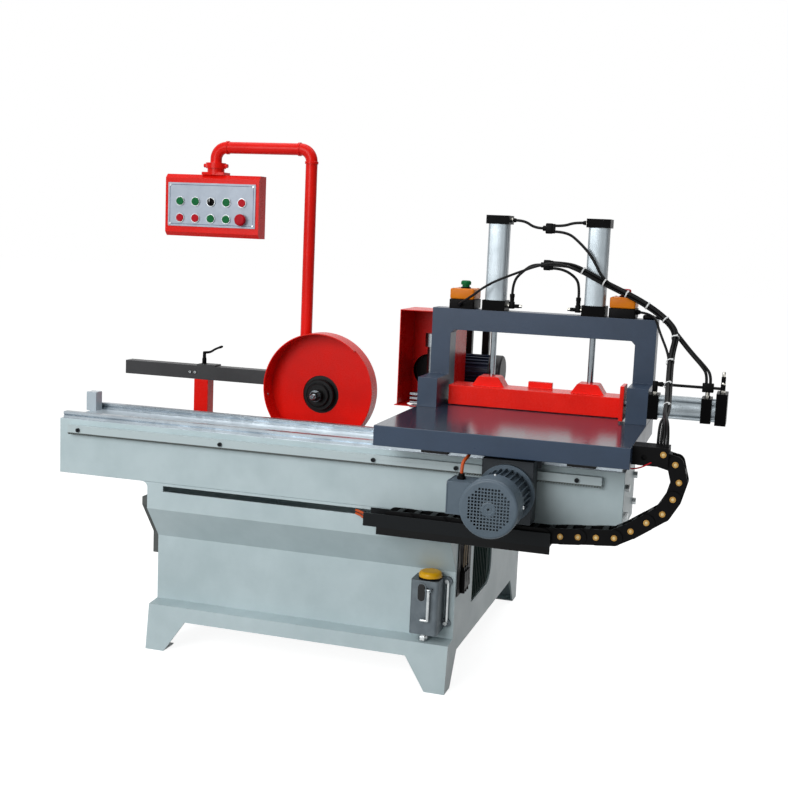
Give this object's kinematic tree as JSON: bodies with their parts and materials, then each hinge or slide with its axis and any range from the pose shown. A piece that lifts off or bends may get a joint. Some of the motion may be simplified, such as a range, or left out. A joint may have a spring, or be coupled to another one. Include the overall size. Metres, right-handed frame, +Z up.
{
  "type": "finger joint machine",
  "caption": "Woodworking finger joint cutting machine: carriage with pneumatic clamp on a railed bed, trimming saw hood, cutter hood, rack feed, cable chain and swivelling control pendant.",
  "frame": {"origin": "on the floor, at the centre of the four floor anchor holes", "axes": "+X along the bed to the operator's right, +Y from the operator to the back, +Z up"},
  "size_m": [2.189, 1.465, 1.7002],
  "materials": {
    "base_paint": "pale grey satin paint on sheet steel",
    "machine_blue": "blue-grey satin machine paint",
    "red_paint": "red gloss machine paint",
    "grey_green_paint": "dark grey-green paint",
    "dark_green_paint": "dark green paint",
    "motor_paint": "grey-blue motor enamel",
    "cast_paint": "grey cast iron",
    "ground_steel": "ground steel",
    "dark_steel": "blackened steel",
    "zinc_steel": "zinc plated steel",
    "chrome_trim": "polished chrome",
    "aluminium_tube": "anodised aluminium",
    "aluminium_sheet": "brushed aluminium sheet",
    "black_plastic": "black moulded nylon",
    "white_plastic": "off-white moulded plastic",
    "yellow_plastic": "yellow moulded plastic",
    "green_plastic": "green moulded plastic",
    "red_plastic": "red moulded plastic",
    "black_rubber": "black polyurethane hose"
  },
  "bodies": {
    "base": {"base_cabinet": "base_paint", "bed_beam": "base_paint", "guide_rails": "ground_steel", "feed_rack": "base_paint", "bed_bolts": "zinc_steel", "chain_tray": "grey_green_paint", "chain_lower_run": "black_plastic", "oil_pump_body": "cast_paint", "oil_pump_cap": "yellow_plastic", "side_covers": "dark_green_paint", "valve_block": "black_plastic", "mains_gland": "black_plastic", "stop_post": "red_paint", "saw_hood": "red_paint", "saw_motor": "motor_paint", "cutter_hood": "red_paint", "lift_posts": "dark_steel", "lift_motor": "motor_paint", "pendant_arm": "red_paint"},
    "carriage": {"carriage_table": "machine_blue", "bearing_blocks": "ground_steel", "gantry_frame": "machine_blue", "cylinder_barrels": "aluminium_tube", "cylinder_caps": "black_plastic", "air_fittings": "zinc_steel", "button_boxes": "yellow_plastic", "chain_bracket": "dark_steel", "feed_motor": "motor_paint", "motor_fan_cover": "motor_paint", "gearbox": "motor_paint", "hoses": "black_rubber"},
    "pinion": {"pinion": "dark_steel"},
    "chain": {"drag_chain": "black_plastic"},
    "clamp": {"clamp_beam": "red_paint", "clamp_rods": "chrome_trim"},
    "pusher": {"pusher_plate": "red_paint", "pusher_rod": "chrome_trim"},
    "start_button": {"start_button": "green_plastic"},
    "stop_button": {"stop_button": "red_plastic"},
    "stop_bar": {"stop_bar": "dark_steel"},
    "clamp_lever": {"clamp_lever": "black_plastic"},
    "saw_arbor": {"saw_arbor": "ground_steel"},
    "spindle": {"spindle_housing": "cast_paint", "cutter_motor": "motor_paint"},
    "cutter": {"cutter_shaft": "ground_steel", "cutter_stack": "ground_steel"},
    "panel": {"panel_box": "red_paint", "panel_faceplate": "aluminium_sheet", "button_bezels": "chrome_trim"},
    "mode_selector": {"mode_selector": "black_plastic"},
    "emergency_stop": {"emergency_stop": "red_plastic"},
    "oil_pump_lever": {"oil_pump_lever": "zinc_steel"},
    "saw_start_button": {"saw_start_button": "green_plastic"},
    "cutter_start_button": {"cutter_start_button": "green_plastic"},
    "feed_start_button": {"feed_start_button": "green_plastic"},
    "saw_stop_button": {"saw_stop_button": "red_plastic"},
    "feed_stop_button": {"feed_stop_button": "red_plastic"},
    "cutter_stop_button": {"cutter_stop_button": "red_plastic"},
    "clamp_button": {"clamp_button": "green_plastic"},
    "release_button": {"release_button": "green_plastic"}
  },
  "joints": [
    {"name": "carriage_slide", "type": "slide", "parent": "base", "child": "carriage", "axis": [-1, 0, 0], "range_m": [0, 1.1]},
    {"name": "pinion_turn", "type": "hinge", "parent": "carriage", "child": "pinion", "pos_m": [0.69, -0.5625, 0.672], "axis": [0, 1, 0], "continuous": true},
    {"name": "chain_travel", "type": "slide", "parent": "base", "child": "chain", "axis": [-1, 0, 0], "range_m": [0, 0.55], "deforming": ["chain_lower_run"]},
    {"name": "clamp_lift", "type": "slide", "parent": "carriage", "child": "clamp", "axis": [0, 0, 1], "range_m": [0, 0.135]},
    {"name": "pusher_stroke", "type": "slide", "parent": "carriage", "child": "pusher", "axis": [-1, 0, 0], "range_m": [0, 0.1]},
    {"name": "start_press", "type": "slide", "parent": "carriage", "child": "start_button", "axis": [0, 0, -1], "range_m": [0, 0.006], "stiffness_N_per_m": 800, "springref_m": -0.003},
    {"name": "stop_press", "type": "slide", "parent": "carriage", "child": "stop_button", "axis": [0, 0, -1], "range_m": [0, 0.006], "stiffness_N_per_m": 800, "springref_m": -0.003},
    {"name": "stop_bar_slide", "type": "slide", "parent": "base", "child": "stop_bar", "axis": [0, 1, 0], "range_m": [-0.012, 0.012]},
    {"name": "clamp_lever_turn", "type": "hinge", "parent": "base", "child": "clamp_lever", "pos_m": [-0.608, 0.0435, 0.9], "axis": [0, 0, 1], "range_deg": [-60, 60]},
    {"name": "saw_spin", "type": "hinge", "parent": "base", "child": "saw_arbor", "pos_m": [-0.153, 0.05, 0.805], "axis": [0, 1, 0], "continuous": true},
    {"name": "spindle_lift", "type": "slide", "parent": "base", "child": "spindle", "axis": [0, 0, 1], "range_m": [0, 0.07]},
    {"name": "cutter_spin", "type": "hinge", "parent": "spindle", "child": "cutter", "pos_m": [0.258, 0.0735, 0.8], "axis": [0, 0, 1], "continuous": true},
    {"name": "panel_swivel", "type": "hinge", "parent": "base", "child": "panel", "pos_m": [-0.604, 0.0985, 1.6], "axis": [0, 0, 1], "range_deg": [-25, 25]},
    {"name": "selector_turn", "type": "hinge", "parent": "panel", "child": "mode_selector", "pos_m": [-0.604, 0.05, 1.4775], "axis": [0, 1, 0], "range_deg": [-45, 45]},
    {"name": "emergency_stop_press", "type": "slide", "parent": "panel", "child": "emergency_stop", "axis": [0, 1, 0], "range_m": [0, 0.006]},
    {"name": "oil_lever_swing", "type": "hinge", "parent": "base", "child": "oil_pump_lever", "pos_m": [0.45, -0.5635, 0.328], "axis": [-1, 0, 0], "range_deg": [0, 70]},
    {"name": "saw_start_press", "type": "slide", "parent": "panel", "child": "saw_start_button", "axis": [0, 1, 0], "range_m": [0, 0.004], "stiffness_N_per_m": 700, "springref_m": -0.003},
    {"name": "cutter_start_press", "type": "slide", "parent": "panel", "child": "cutter_start_button", "axis": [0, 1, 0], "range_m": [0, 0.004], "stiffness_N_per_m": 700, "springref_m": -0.003},
    {"name": "feed_start_press", "type": "slide", "parent": "panel", "child": "feed_start_button", "axis": [0, 1, 0], "range_m": [0, 0.004], "stiffness_N_per_m": 700, "springref_m": -0.003},
    {"name": "saw_stop_press", "type": "slide", "parent": "panel", "child": "saw_stop_button", "axis": [0, 1, 0], "range_m": [0, 0.004], "stiffness_N_per_m": 700, "springref_m": -0.003},
    {"name": "feed_stop_press", "type": "slide", "parent": "panel", "child": "feed_stop_button", "axis": [0, 1, 0], "range_m": [0, 0.004], "stiffness_N_per_m": 700, "springref_m": -0.003},
    {"name": "cutter_stop_press", "type": "slide", "parent": "panel", "child": "cutter_stop_button", "axis": [0, 1, 0], "range_m": [0, 0.004], "stiffness_N_per_m": 700, "springref_m": -0.003},
    {"name": "clamp_press", "type": "slide", "parent": "panel", "child": "clamp_button", "axis": [0, 1, 0], "range_m": [0, 0.004], "stiffness_N_per_m": 700, "springref_m": -0.003},
    {"name": "release_press", "type": "slide", "parent": "panel", "child": "release_button", "axis": [0, 1, 0], "range_m": [0, 0.004], "stiffness_N_per_m": 700, "springref_m": -0.003}
  ],
  "couplings": [
    {"joint": "pinion_turn", "follows": "carriage_slide", "rad_per_m": 36.364},
    {"joint": "chain_travel", "follows": "carriage_slide", "ratio": 0.5}
  ]
}
